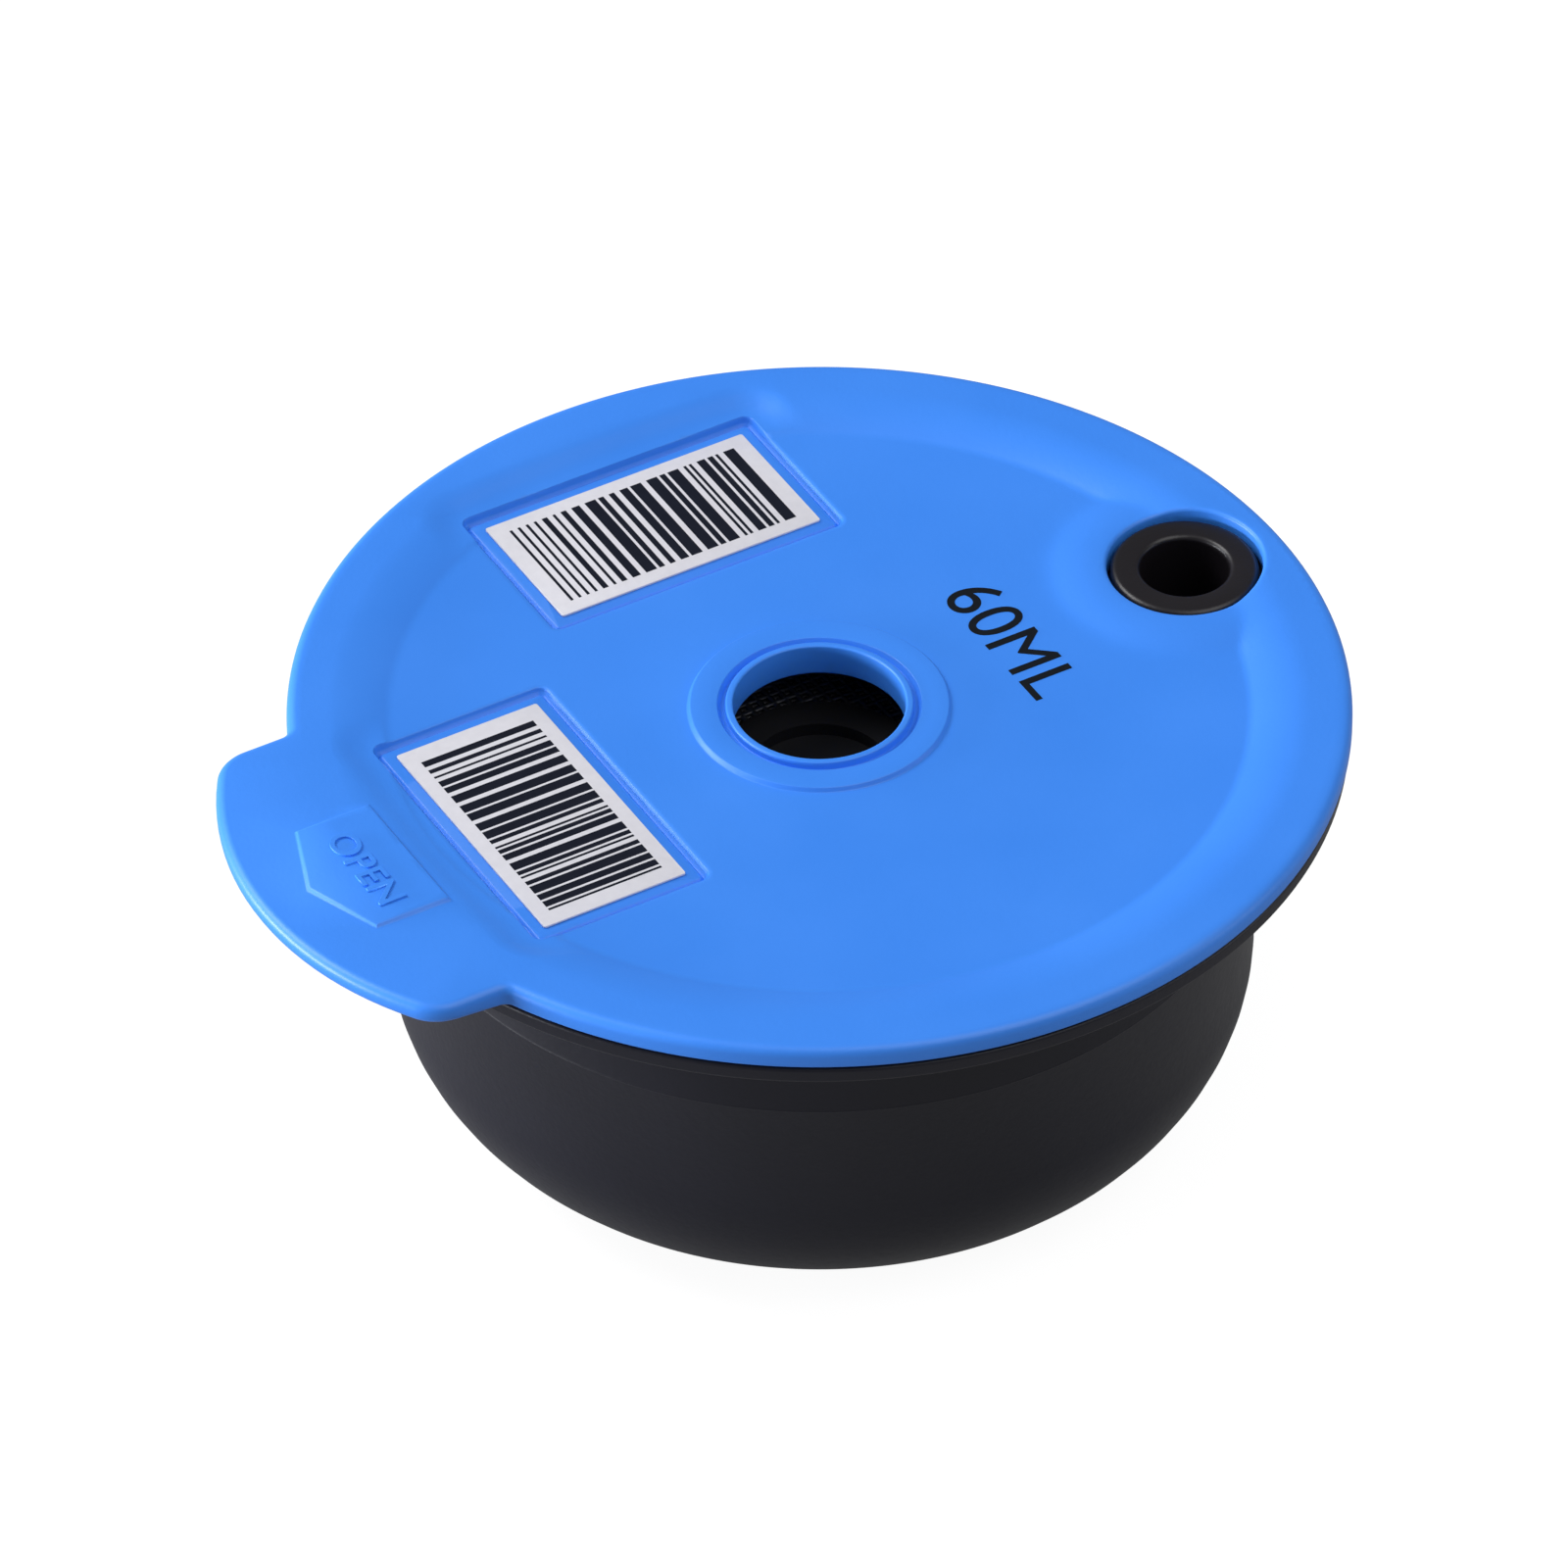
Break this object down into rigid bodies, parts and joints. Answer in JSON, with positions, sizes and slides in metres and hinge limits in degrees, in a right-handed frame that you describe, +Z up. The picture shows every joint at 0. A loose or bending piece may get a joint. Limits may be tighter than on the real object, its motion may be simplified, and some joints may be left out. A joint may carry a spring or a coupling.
{
  "type": "reusable coffee capsule",
  "caption": "Round refillable coffee capsule: a deep charcoal cup closed by a blue press-on lid with a pull tab, a central outlet, a side inlet and two striped labels.",
  "frame": {"origin": "centre of the cup's flat underside", "axes": "+Z up along the capsule's axis, +X from the axis towards the water inlet, so the pull tab points along -X"},
  "size_m": [0.0825, 0.075, 0.0333],
  "materials": {
    "cup_plastic": "charcoal satin moulded plastic",
    "lid_plastic": "blue satin moulded plastic",
    "bush_rubber": "black soft satin rubber",
    "frame_plastic": "black matt moulded plastic",
    "gauze_steel": "woven stainless steel gauze",
    "label_film": "white printed film with dark stripes"
  },
  "bodies": {
    "root": {"cup": "cup_plastic", "lid": "lid_plastic", "inlet_bush": "bush_rubber", "filter_frame": "frame_plastic", "filter_mesh": "gauze_steel", "label_back": "label_film", "label_front": "label_film"}
  },
  "joints": []
}
